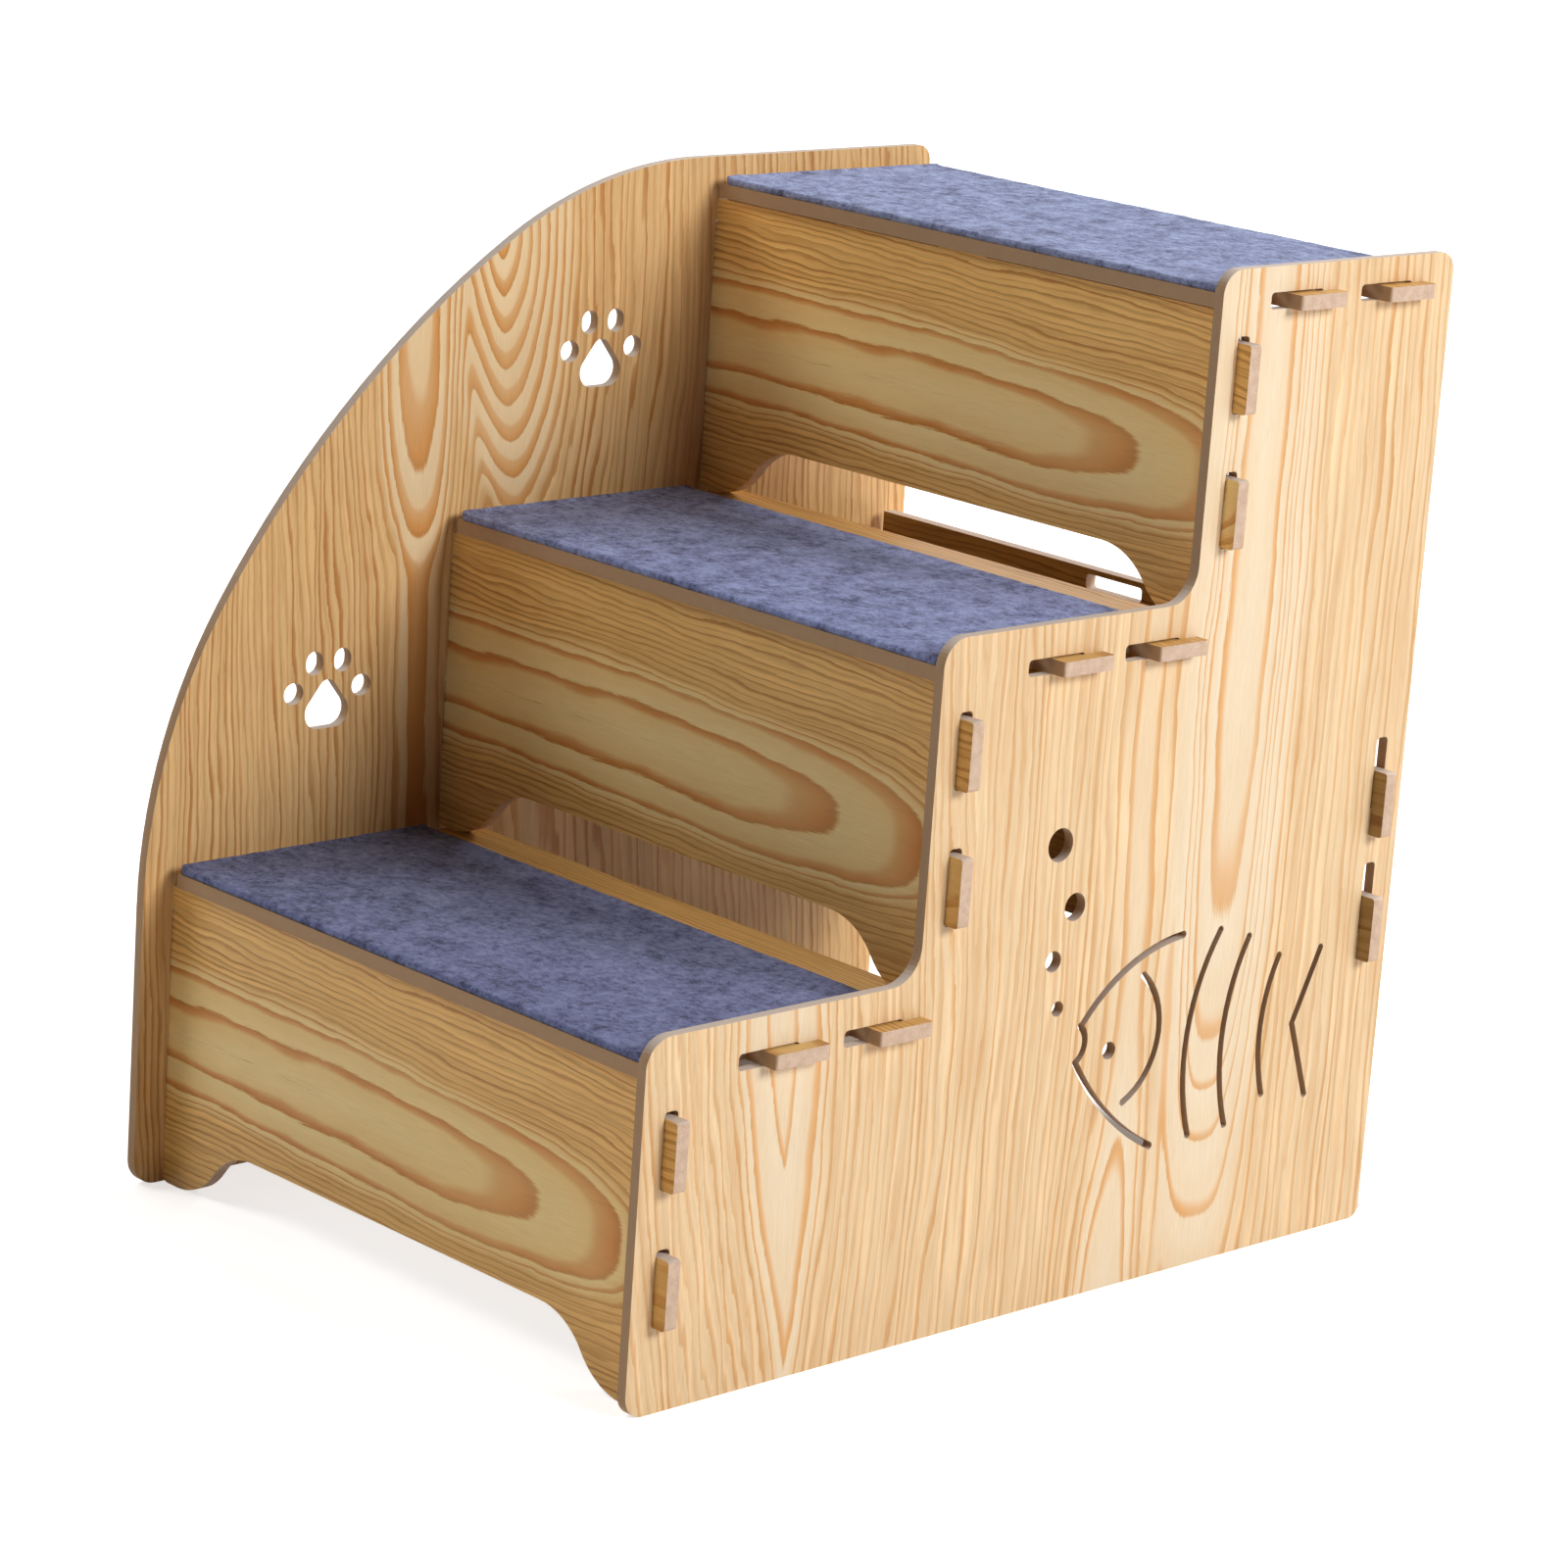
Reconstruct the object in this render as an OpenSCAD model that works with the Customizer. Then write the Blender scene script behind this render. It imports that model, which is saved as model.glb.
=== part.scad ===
// Pet stairs with three steps, made of flat boards that hook together without tools: a stepped
// side panel, a taller guard panel, three risers, three treads with felt mats and a back board.
// Millimetres, +Z up, front towards -Y, the stepped side at +X.
// The origin lies on the floor, under the middle of the whole object.

/* [Steps] */
// Height of the whole stairs, from the floor to the top of both side panels
stairs_h = 450; // [402:1:537]
// Depth of the stairs, from the stepped side's front edge to its back edge
stairs_d = 450; // [405:1:555]
// Clear width between the two side panels
inner_w = 325; // [240:1:480]
// How far the stepped side stands above each tread
step_lip = 15; // [10:1:22]
// How far both side panels stand above the top tread
top_lip = 12; // [6:1:20]
// How far a riser's face lies behind its step front
riser_inset = 12; // [9:1:18]
// How far the back board's outer face lies ahead of the panels' back edges
back_inset = 13; // [9:1:18]
// How far the back board's top edge lies below the second tread's top
back_drop = 21; // [15:1:40]

/* [Boards] */
// Thickness of the two side panels
panel_t = 5; // [4:0.5:8]
// Thickness of the risers, the treads and the back board
board_t = 6.5; // [5:0.5:9]
// How far a tread stands ahead of the riser's face under it
tread_nose = 3; // [2.5:0.5:6]
// How far a tread runs on behind the face of the next riser
tread_back = 15; // [12:1:24]
// Gap between a tread's end and the side panel
end_gap = 6; // [2:0.5:8]
// Gap between a riser's shoulder and the tread above it
riser_drop = 1; // [0.5:0.1:5]
// How far the top tread ends ahead of the panels' back edges
top_back_gap = 1; // [0:0.5:6]

/* [Stepped side] */
// Radius of the outer corners of the lower steps
step_corner_r = 13; // [6:1:15]
// Radius of the inner corners between the steps
step_fillet_r = 16; // [6:1:24]
// Radius of the top step's front corner
top_front_r = 11; // [5:1:18]
// Radius of the top step's back corner
top_back_r = 9; // [4:1:16]
// Radius of the bottom front corner
foot_front_r = 10; // [4:1:14]
// Radius of the bottom back corner
foot_back_r = 6; // [3:1:12]

/* [Guard side] */
// How far the guard's front edge reaches ahead of the stepped side
guard_reach = 4.5; // [0:0.5:20]
// Radius of the lowest part of the guard's curved front
guard_low_r = 253; // [220:1:290]
// Radius of the middle part of the guard's curved front
guard_mid_r = 472; // [430:1:540]
// Radius of the highest part of the guard's curved front
guard_top_r = 217; // [180:1:240]
// Radius of the guard's bottom front corner
guard_foot_r = 12; // [4:1:20]
// Radius of the guard's two back corners
guard_back_r = 8; // [3:1:14]

/* [Tabs and slots] */
// Length of every tab along its board's edge
tab_len = 30; // [24:0.5:31]
// Distance from one tab to the next
tab_pitch = 58.5; // [50:0.5:64]
// How far a tab stands out of the side panel
tab_stand = 7.5; // [5:0.5:12]
// Radius of a tab's outer corners
tab_corner_r = 1.5; // [1:0.5:4.5]
// Length of the neck that joins a hooked tab to its board
hook_neck = 17.5; // [12:0.5:20]
// Gap between a hook and the side panel that it grips
hook_play = 0.3; // [0.2:0.1:0.8]
// Length of every slot for a tab
slot_len = 33.5; // [32.5:0.5:37]
// How much wider a slot is than its board is thick
slot_play = 0.8; // [0.4:0.1:1.4]
// Radius of a slot's corners
slot_corner_r = 2; // [1:0.1:2.4]
// How far a tab hangs clear of the round corners at its slot's end
seat_gap = 0.1; // [0.1:0.1:0.3]
// Distance from a lower tread's last tab to its back edge
tread_tab_margin = 24.5; // [18:0.5:30]
// Distance from the top tread's last tab to its back edge
top_tab_margin = 18.5; // [15:0.5:22]
// How far the top tread's hooks stop short of the end of their slots
top_hook_slack = 2.5; // [0:0.5:5]
// Distance from a riser's upper tab to its shoulder
riser_tab_margin = 12; // [6:0.5:15]
// Length of the slot in the middle of a tread's front
mid_slot_len = 36; // [31:0.5:50]
// How far a riser's middle tab stays below the tread's top
mid_tab_sink = 0.5; // [0.2:0.1:2]

/* [Riser cut-out] */
// Height of the cut-out under a riser
cutout_h = 27.5; // [12:0.5:30]
// Flat length of each foot beside the cut-out
foot_flat = 10; // [8:0.5:20]
// Length of the curve from a foot to the cut-out's top
cutout_curve = 54; // [40:1:60]
// Radius of a foot's outer corner
foot_corner_r = 3; // [1:0.5:6]

/* [Felt mats] */
// Thickness of the felt
mat_t = 3; // [2:0.5:6]
// How far a mat lies inside its tread's front edge and ends
mat_inset = 0.5; // [0:0.5:5]
// Gap between a lower mat and the riser behind it
mat_gap = 13; // [0.5:0.5:20]
// Radius of a mat's corners
mat_corner_r = 3; // [1:0.5:10]

/* [Fish cut-out] */
// Length of the fish from mouth to tail
fish_len = 155; // [110:1:160]
// Height of the fish's middle above the floor
fish_z = 112; // [90:1:125]
// Distance from the fish's tail to the panel's back edge
fish_margin = 45; // [36:1:60]
// Width of the slits that draw the fish
slit_w = 3.5; // [2:0.1:4.5]

/* [Paw cut-outs] */
// Width of a paw print over its outer toes
paw_w = 49; // [30:1:56]

/* [Hidden] */
$fn = 96;

// Number of steps
step_count = 3;
// Turn of the guard's front at the end of its lowest and of its middle part, in degrees
guard_low_turn = 31.7;
guard_mid_turn = 58.7;
// How far a cut runs past the face that it goes through
overrun = 1;
// Diameter of the round holes that end a slit, in shares of its width
slit_end_share = 1.03;
// How deep the curves of a riser's foot bite into each other and into its straight edges
curve_bite = 0.005;

// Colours of the laminated boards and the felt
lit_wood = [0.93, 0.82, 0.64];
shaded_wood = [0.80, 0.66, 0.45];
felt_blue = [0.55, 0.56, 0.68];

// Height of one step from tread top to tread top, and depth from step front to step front
step_rise = (stairs_h - top_lip) / step_count;
step_run = stairs_d / step_count;
outer_x = inner_w / 2 + panel_t;
head_x = outer_x + tab_stand;
middle_y = (stairs_d - guard_reach) / 2;

tread_l = inner_w - 2 * end_gap;
tread_d = step_run + tread_nose + tread_back;
top_tread_d = stairs_d - top_back_gap - tread_front(step_count);
riser_h = step_rise - board_t - riser_drop;
mid_tab_h = riser_drop + board_t - mid_tab_sink;
slot_w = board_t + slot_play;
// Room at a slot's end, so that a square-edged board clears its round corners
end_room = slot_corner_r - sqrt(pow(slot_corner_r, 2) - pow(slot_corner_r - slot_play / 2, 2)) + seat_gap;

back_y = stairs_d - back_inset - board_t;
back_top = (step_count - 1) * step_rise - back_drop;
// Bottoms of a riser's two tabs above its feet
riser_tabs = [riser_h - riser_tab_margin - tab_len - tab_pitch, riser_h - riser_tab_margin - tab_len];

// The fish: each slit is an arc of [y, z, radius, from angle, to angle], in shares of its length
// from the middle of its mouth: the head's top, the mouth, the head's underside, the gill, three ribs
fish_arc_shares = [[0.436, -0.257, 0.550, 94, 141.5], [-0.039, 0.038, 0.065, -58, 49],
                   [0.706, 0.433, 0.844, 212.4, 243.7], [0.112, 0.026, 0.217, -65, 51.5],
                   [1.114, -0.081, 0.667, 147, 201], [1.277, -0.074, 0.676, 152, 201],
                   [1.297, -0.068, 0.532, 154, 200]];
// The tail's three points
fish_tail_shares = [[1.000, 0.161], [0.904, -0.054], [0.989, -0.284]];
// Round holes of [y, z, diameter]: the eye, then four bubbles from the lowest to the highest
fish_hole_shares = [[0.128, -0.006, 0.052], [-0.097, 0.153, 0.045], [-0.130, 0.294, 0.061],
                    [-0.061, 0.441, 0.081], [-0.139, 0.628, 0.097]];

// Middles of the two paw prints, in shares of the guard's depth and height
paw_place_shares = [[0.207, 0.471], [0.544, 0.793]];
// A paw's toes of [y, z, width, height] in shares of its width, on one side of its middle
paw_toe_shares = [[0.162, 0.398, 0.194, 0.224], [0.390, 0.135, 0.220, 0.204]];
// The three circles of [y, z, radius] that round a paw's pad
paw_pad_shares = [[-0.096, -0.077, 0.153], [0.096, -0.077, 0.153], [0, 0.128, 0.102]];

// Front edge of step k's tread, and the face of its riser
function tread_front(k) = riser_front(k) - tread_nose;
function riser_front(k) = (k - 1) * step_run + riser_inset;
// Front edges of a tread's two tabs, from the tread's own front edge
function tab_fronts(depth, margin) = [for (i = [1, 0]) depth - margin - tab_len - i * tab_pitch];
// Start of a hooked tab's slot, from the front edge of the tab
function hook_slot(slack) = hook_neck + slot_corner_r + slack - slot_len;
// Direction of the outer tangent to circles a and b, run anticlockwise
function tangent_angle(a, b) =
    atan2(b[1] - a[1], b[0] - a[0]) - acos((a[2] - b[2]) / norm([b[0] - a[0], b[1] - a[1]]));
function on_circle(c, angle) = [c[0] + c[2] * cos(angle), c[1] + c[2] * sin(angle)];

// Flat shapes

// What lies between two square edges and the arc that rounds them, with the corner at the origin
module corner_2d(r) {
    difference() {
        translate([-overrun, -overrun])
            square(r + overrun);
        translate([r, r])
            circle(r = r);
    }
}

// The same at a corner of a bigger outline, turned to face into it
module corner_at_2d(place, r, angle) {
    translate(place)
        rotate(angle)
            corner_2d(r);
}

// A rectangle with round corners, its low corner at the origin
module rounded_2d(w, h, r) {
    difference() {
        square([w, h]);
        corner_2d(r);
        corner_at_2d([w, 0], r, 90);
        corner_at_2d([w, h], r, 180);
        corner_at_2d([0, h], r, 270);
    }
}

// A slit along an arc, with round ends
module arc_slit_2d(r, from, to, w) {
    reach = 2 * r;
    middle = (from + to) / 2;
    intersection() {
        difference() {
            circle(r = r + w / 2);
            circle(r = r - w / 2);
        }
        polygon(concat([[0, 0]], [for (a = [from, middle, to]) reach * [cos(a), sin(a)]]));
    }
    for (a = [from, to])
        rotate(a)
            translate([r, 0])
                circle(d = w * slit_end_share);
}

// A straight slit between two points, with round ends
module line_slit_2d(start, end, w) {
    run = end - start;
    translate(start)
        rotate(atan2(run[1], run[0])) {
            translate([0, -w / 2])
                square([norm(run), w]);
            for (x = [0, norm(run)])
                translate([x, 0])
                    circle(d = w * slit_end_share);
        }
}

module fish_2d() {
    for (s = fish_arc_shares)
        translate(fish_len * [s[0], s[1]])
            arc_slit_2d(fish_len * s[2], s[3], s[4], slit_w);
    for (i = [0, 1])
        line_slit_2d(fish_len * fish_tail_shares[i], fish_len * fish_tail_shares[i + 1], slit_w);
    for (s = fish_hole_shares)
        translate(fish_len * [s[0], s[1]])
            circle(d = fish_len * s[2]);
}

// A toe print: two circles and what joins them
module toe_2d(w, h) {
    d = min(w, h);
    square([w, h] - [w == d ? 0 : d, h == d ? 0 : d], center = true);
    for (s = [-1, 1])
        translate(s * [w - d, h - d] / 2)
            circle(d = d);
}

// A paw print about the middle of its pad
module paw_2d() {
    pad = paw_w * paw_pad_shares;
    polygon([for (i = [0:2])
                let (a = pad[i], b = pad[(i + 1) % 3], angle = tangent_angle(a, b))
                    each [on_circle(a, angle), on_circle(b, angle)]]);
    for (c = pad)
        translate([c[0], c[1]])
            circle(r = c[2]);
    for (s = paw_toe_shares)
        for (side = [-1, 1])
            translate(paw_w * [side * s[0], s[1]])
                toe_2d(paw_w * s[2], paw_w * s[3]);
}

// Every slot in a side panel, across the panel from front to back and up
module panel_slots_2d() {
    for (k = [1:step_count]) {
        // the two hooked tabs of the tread
        top = k == step_count;
        slack = top ? top_hook_slack : 0;
        for (t = top ? tab_fronts(top_tread_d, top_tab_margin) : tab_fronts(tread_d, tread_tab_margin))
            translate([tread_front(k) + t + hook_slot(slack), k * step_rise - board_t])
                rounded_2d(slot_len, slot_w, slot_corner_r);
        // the two plain tabs of the riser
        for (z = riser_tabs)
            translate([riser_front(k) - slot_play / 2, (k - 1) * step_rise + z - end_room])
                rounded_2d(slot_w, slot_len, slot_corner_r);
    }
    // the two hooks of the back board, which point down
    for (t = tab_fronts(tread_d, tread_tab_margin))
        translate([back_y - slot_play / 2, back_top - t - hook_neck - end_room])
            rounded_2d(slot_w, slot_len, slot_corner_r);
}

module stepped_2d() {
    difference() {
        union() {
            for (k = [1:step_count]) {
                front = (k - 1) * step_run;
                lip = k == step_count ? top_lip : step_lip;
                translate([front, 0])
                    square([stairs_d - front, k * step_rise + lip]);
                if (k < step_count)
                    corner_at_2d([front + step_run, k * step_rise + lip], step_fillet_r, 90);
            }
        }
        for (k = [1:step_count - 1])
            corner_at_2d([(k - 1) * step_run, k * step_rise + step_lip], step_corner_r, 270);
        corner_at_2d([stairs_d - step_run, stairs_h], top_front_r, 270);
        corner_at_2d([stairs_d, stairs_h], top_back_r, 180);
        corner_at_2d([0, 0], foot_front_r, 0);
        corner_at_2d([stairs_d, 0], foot_back_r, 90);
    }
}

// The guard's curved front is three arcs that meet smoothly, upright at the bottom and level at the top
module guard_2d() {
    low_to_mid = guard_mid_r - guard_low_r;
    mid_to_top = guard_mid_r - guard_top_r;
    top_c = [-guard_reach + guard_low_r + low_to_mid * cos(guard_low_turn) - mid_to_top * cos(guard_mid_turn),
             stairs_h - guard_top_r];
    mid_c = top_c + mid_to_top * [cos(guard_mid_turn), -sin(guard_mid_turn)];
    low_c = mid_c + low_to_mid * [-cos(guard_low_turn), sin(guard_low_turn)];
    reach = 2 * guard_mid_r;
    middle_turn = (guard_low_turn + guard_mid_turn) / 2;
    difference() {
        union() {
            translate([-guard_reach, 0])
                square([stairs_d + guard_reach, low_c[1]]);
            translate([top_c[0], 0])
                square([stairs_d - top_c[0], stairs_h]);
            intersection() {
                translate([-guard_reach, 0])
                    square([stairs_d + guard_reach, stairs_h]);
                union() {
                    translate(low_c)
                        circle(r = guard_low_r, $fn = 360);
                    translate(top_c)
                        circle(r = guard_top_r, $fn = 360);
                    translate(mid_c)
                        intersection() {
                            circle(r = guard_mid_r, $fn = 360);
                            polygon(concat([[0, 0]], [for (a = [guard_low_turn, middle_turn, guard_mid_turn])
                                                          reach * [-cos(a), sin(a)]]));
                        }
                }
            }
        }
        corner_at_2d([-guard_reach, 0], guard_foot_r, 0);
        corner_at_2d([stairs_d, 0], guard_back_r, 90);
        corner_at_2d([stairs_d, stairs_h], guard_back_r, 180);
    }
}

// A riser from its feet up, about its middle
module riser_2d() {
    curve_r = (pow(cutout_h, 2) + pow(cutout_curve, 2)) / (4 * cutout_h);
    half_w = inner_w / 2;
    difference() {
        union() {
            translate([-half_w, 0])
                square([inner_w, riser_h]);
            translate([-tab_len / 2, riser_h - overrun])
                square([tab_len, mid_tab_h + overrun]);
            for (z = riser_tabs)
                translate([-head_x, z])
                    rounded_2d(2 * head_x, tab_len, tab_corner_r);
        }
        for (side = [0, 1])
            mirror([side, 0]) {
                corner_at_2d([-half_w, 0], foot_corner_r, 0);
                translate([-half_w + foot_flat, 0]) {
                    // the round toe of the foot, and the round end of the cut-out above it
                    difference() {
                        translate([0, -overrun])
                            square([cutout_curve + overrun, cutout_h / 2 + overrun]);
                        translate([0, curve_r - curve_bite])
                            circle(r = curve_r);
                    }
                    intersection() {
                        translate([0, -overrun])
                            square([cutout_curve + overrun, cutout_h + overrun]);
                        translate([cutout_curve, cutout_h - curve_r + curve_bite])
                            circle(r = curve_r);
                    }
                }
            }
        translate([-half_w + foot_flat + cutout_curve, -overrun])
            square([inner_w - 2 * (foot_flat + cutout_curve), cutout_h + overrun]);
    }
}

// A board with two hooked tabs at each end and the middle slot, from its front edge back
module hooked_2d(depth, margin) {
    half_l = tread_l / 2;
    difference() {
        union() {
            translate([-half_l, 0])
                square([tread_l, depth]);
            for (side = [0, 1])
                mirror([side, 0])
                    for (t = tab_fronts(depth, margin)) {
                        // the neck through the side panel
                        translate([half_l - overrun, t])
                            square([outer_x + hook_play + tab_corner_r - half_l + overrun, hook_neck]);
                        // the hook outside it
                        translate([outer_x + hook_play, t])
                            hook_2d();
                    }
        }
        translate([-mid_slot_len / 2, tread_nose - slot_play / 2])
            rounded_2d(mid_slot_len, slot_w, slot_corner_r);
    }
}

// The part of a hooked tab that stands outside the side panel
module hook_2d() {
    w = tab_stand - hook_play;
    difference() {
        square([w, tab_len]);
        corner_at_2d([w, 0], tab_corner_r, 90);
        corner_at_2d([w, tab_len], tab_corner_r, 180);
    }
}

// Boards in place

module placed() {
    translate([0, -middle_y, 0])
        children();
}

// Stands a flat shape up as a side panel whose inner or outer face is at x
module side_panel(x) {
    placed()
        translate([x, 0, 0])
            rotate([90, 0, 90])
                linear_extrude(panel_t)
                    children();
}

module left_side_panel() {
    color(shaded_wood)
        side_panel(-outer_x)
            difference() {
                guard_2d();
                panel_slots_2d();
                for (s = paw_place_shares)
                    translate([s[0] * stairs_d, s[1] * stairs_h])
                        paw_2d();
            }
}

module right_side_panel() {
    color(lit_wood)
        side_panel(inner_w / 2)
            difference() {
                stepped_2d();
                panel_slots_2d();
                translate([stairs_d - fish_margin - fish_len, fish_z])
                    fish_2d();
            }
}

module riser(k) {
    color(shaded_wood)
        placed()
            translate([0, riser_front(k) + board_t, (k - 1) * step_rise])
                rotate([90, 0, 0])
                    linear_extrude(board_t)
                        riser_2d();
}

module tread(k) {
    color(lit_wood)
        placed()
            translate([0, tread_front(k), k * step_rise - board_t])
                linear_extrude(board_t)
                    if (k == step_count)
                        hooked_2d(top_tread_d, top_tab_margin);
                    else
                        hooked_2d(tread_d, tread_tab_margin);
}

// The same board as a lower tread, hung upright with its front edge up
module back_board() {
    color(shaded_wood)
        placed()
            translate([0, back_y, back_top])
                rotate([-90, 0, 0])
                    linear_extrude(board_t)
                        hooked_2d(tread_d, tread_tab_margin);
}

module mat(k) {
    front = tread_front(k) + mat_inset;
    back = k == step_count ? tread_front(k) + top_tread_d : riser_front(k + 1) - mat_gap;
    color(felt_blue)
        placed()
            translate([mat_inset - tread_l / 2, front, k * step_rise])
                linear_extrude(mat_t)
                    rounded_2d(tread_l - 2 * mat_inset, back - front, mat_corner_r);
}

left_side_panel();
right_side_panel();
riser(1);  // riser_1
riser(2);  // riser_2
riser(3);  // riser_3
tread(1);  // tread_1
tread(2);  // tread_2
tread(3);  // top_tread
back_board();
mat(1);  // mat_1
mat(2);  // mat_2
mat(3);  // mat_3
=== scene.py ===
import math
from collections import namedtuple

import bmesh
import bpy
from mathutils import Matrix, Vector, noise


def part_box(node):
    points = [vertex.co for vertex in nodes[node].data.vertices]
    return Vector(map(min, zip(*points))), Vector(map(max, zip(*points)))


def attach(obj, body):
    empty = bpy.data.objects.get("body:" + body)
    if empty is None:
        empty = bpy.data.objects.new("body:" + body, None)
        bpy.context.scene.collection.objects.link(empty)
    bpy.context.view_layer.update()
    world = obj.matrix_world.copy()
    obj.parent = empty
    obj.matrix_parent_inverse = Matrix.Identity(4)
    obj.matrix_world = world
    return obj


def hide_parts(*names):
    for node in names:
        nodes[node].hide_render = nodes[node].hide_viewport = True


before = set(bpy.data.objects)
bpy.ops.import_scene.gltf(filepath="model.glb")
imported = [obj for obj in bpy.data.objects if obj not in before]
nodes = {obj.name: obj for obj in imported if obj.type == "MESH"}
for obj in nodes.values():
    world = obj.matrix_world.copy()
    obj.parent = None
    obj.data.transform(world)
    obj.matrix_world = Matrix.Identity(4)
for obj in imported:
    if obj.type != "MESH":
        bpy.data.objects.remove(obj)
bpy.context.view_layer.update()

# The boards wear a printed wood-grain laminate with raw brown edges, and felt mats lie on the treads.
# Lengths are metres, but the wood print, the felt's mottling and the floor are laid out in millimetres.

MM = 0.001
GUARD_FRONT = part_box("left_side_panel")[0].y / MM
PANELS = ["right_side_panel", "left_side_panel"]
RISERS = ["riser_1", "riser_2", "riser_3"]
TREADS = ["tread_1", "tread_2", "top_tread"]
MATS = ["mat_1", "mat_2", "mat_3"]
ALONG_X, ALONG_Y, ALONG_Z = 0, 1, 2

# Colours, linear: the print's pale and middle tones, its broad bands and its fine dark lines, then the
# boards' raw edges by the way they face, with painted shade on those facing the front and painted light
# on those facing up, and the felt
PANEL_TONES = [(0.80, 0.65, 0.46), (0.75, 0.54, 0.315), (0.72, 0.37, 0.13), (0.61, 0.31, 0.105)]
GUARD_TONES = [(0.86, 0.66, 0.40), (0.75, 0.48, 0.215), (0.66, 0.29, 0.07), (0.48, 0.19, 0.04)]
STEP_TONES = [(0.96, 0.71, 0.31), (0.86, 0.505, 0.155), (0.71, 0.27, 0.055), (0.47, 0.185, 0.03)]
RAW_EDGE = (0.66, 0.48, 0.36)
RAW_EDGE_DARK = (0.54, 0.37, 0.26)
# the next two are painted: front-facing raw edges darkened as painted shade, top-facing raw edges
# lightened as painted light
RAW_FRONT_PAINTED_SHADE = (0.42, 0.25, 0.125)
RAW_TOP_PAINTED_LIGHT = (0.62, 0.53, 0.46)
FELT_MIDDLE = (0.235, 0.27, 0.50)
FELT_DARK = (0.09, 0.10, 0.20)
FELT_PALE = (0.38, 0.44, 0.74)
WHITE = (1.0, 1.0, 1.0)
FLOOR_TONES = [(0.80, 0.80, 0.80), (0.82, 0.82, 0.82)]
# the floor's colour deep under the stairs, darkened as painted shade
FLOOR_PAINTED_SHADE = (0.34, 0.30, 0.27)


# Shader maths

class Wire:
    """One value inside a material, so that shader maths reads like plain sums."""

    def __init__(self, graph, socket):
        self.graph, self.socket = graph, socket

    def __add__(self, other):
        return self.graph.math("ADD", self, other)

    def __sub__(self, other):
        return self.graph.math("SUBTRACT", self, other)

    def __rsub__(self, other):
        return self.graph.math("SUBTRACT", other, self)

    def __mul__(self, other):
        return self.graph.math("MULTIPLY", self, other)

    def __truediv__(self, other):
        return self.graph.math("DIVIDE", self, other)

    def __pow__(self, other):
        return self.graph.math("POWER", self, other)

    def __abs__(self):
        return self.graph.math("ABSOLUTE", self)

    __radd__ = __add__
    __rmul__ = __mul__


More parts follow.
